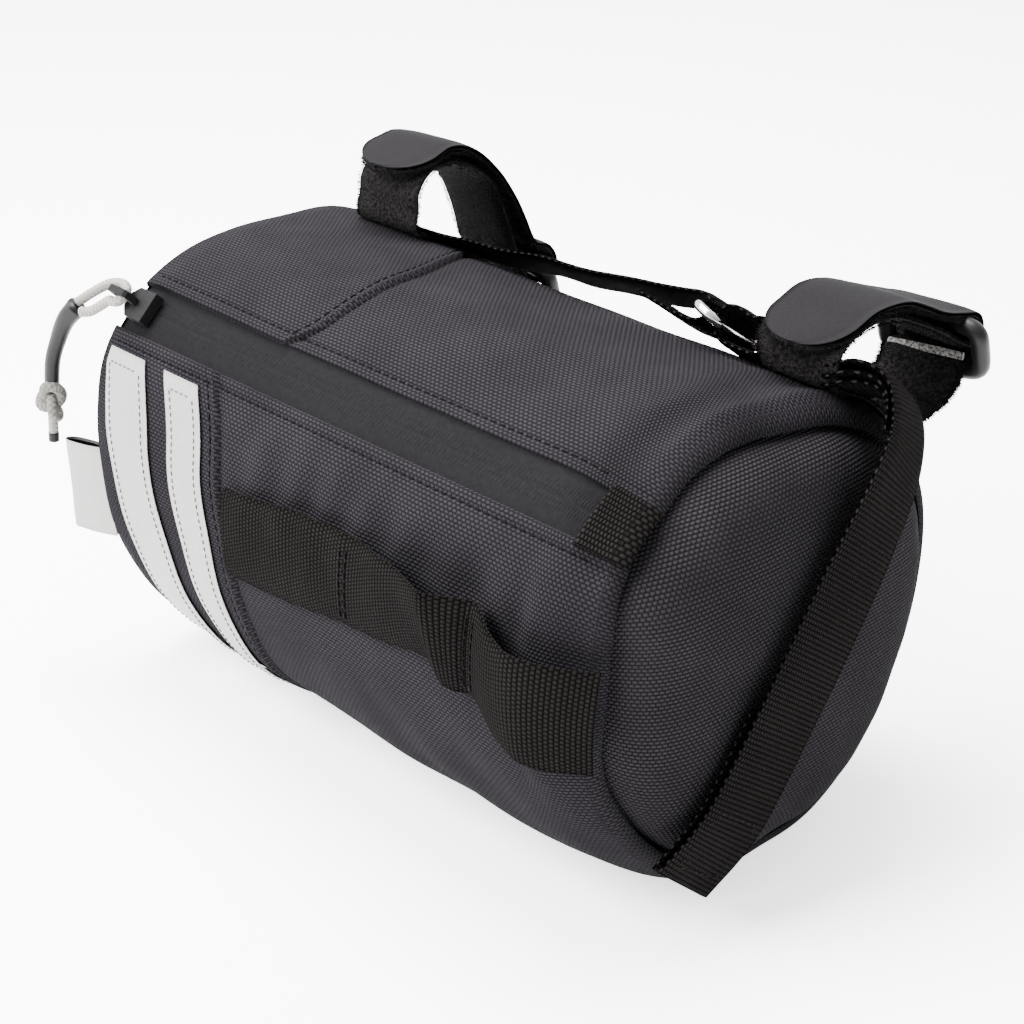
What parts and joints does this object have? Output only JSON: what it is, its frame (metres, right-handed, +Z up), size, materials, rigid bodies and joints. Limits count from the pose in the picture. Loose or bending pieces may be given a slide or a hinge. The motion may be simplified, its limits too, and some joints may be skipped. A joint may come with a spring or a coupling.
{
  "type": "handlebar bag",
  "caption": "Round soft handlebar bag with a zip along its upper front, reflective bands, webbing loops and hook straps that go over a bar.",
  "frame": {"origin": "middle of the flattened underside that the bag rests on", "axes": "+X along the bag towards the end with the end strap, -Y towards the zipped front, +Z up"},
  "size_m": [0.2344, 0.165, 0.1518],
  "materials": {
    "coated_fabric": "matte coated basket weave",
    "end_fabric": "matte coarse weave",
    "zipper_tape": "smooth coated tape",
    "webbing": "ribbed webbing",
    "reflective_tape": "satin reflective tape",
    "loop_pile": "fuzzy loop pile",
    "hook_tape": "smooth backing of hook tape",
    "buckle_plastic": "satin moulded plastic",
    "ring_metal": "bright plated steel",
    "slider_metal": "black painted die casting",
    "label_satin": "woven satin label",
    "cord": "braided cord",
    "sleeve_plastic": "soft shrink sleeve"
  },
  "bodies": {
    "root": {"main_panel": "coated_fabric", "lapped_panel": "coated_fabric", "end_panel_right": "end_fabric", "end_panel_left": "end_fabric", "zipper_tape_upper": "zipper_tape", "zipper_tape_lower": "zipper_tape", "zipper_end_tab": "webbing", "zipper_slider": "slider_metal", "slider_bail": "slider_metal", "reflective_stripe_outer": "reflective_tape", "reflective_stripe_inner": "reflective_tape", "front_webbing": "webbing", "end_strap": "webbing", "top_webbing_long": "webbing", "top_webbing_loop": "webbing", "bar_strap_left": "loop_pile", "bar_strap_right": "loop_pile", "bar_anchor_left": "loop_pile", "bar_anchor_right": "loop_pile", "bar_tab_left": "hook_tape", "bar_tab_right": "hook_tape", "strap_buckle_left": "buckle_plastic", "strap_buckle_right": "buckle_plastic", "strap_ring": "ring_metal", "side_label": "label_satin", "pull_cord": "cord", "pull_sleeve": "sleeve_plastic", "pull_knot": "cord", "pull_tail": "cord"}
  },
  "joints": []
}
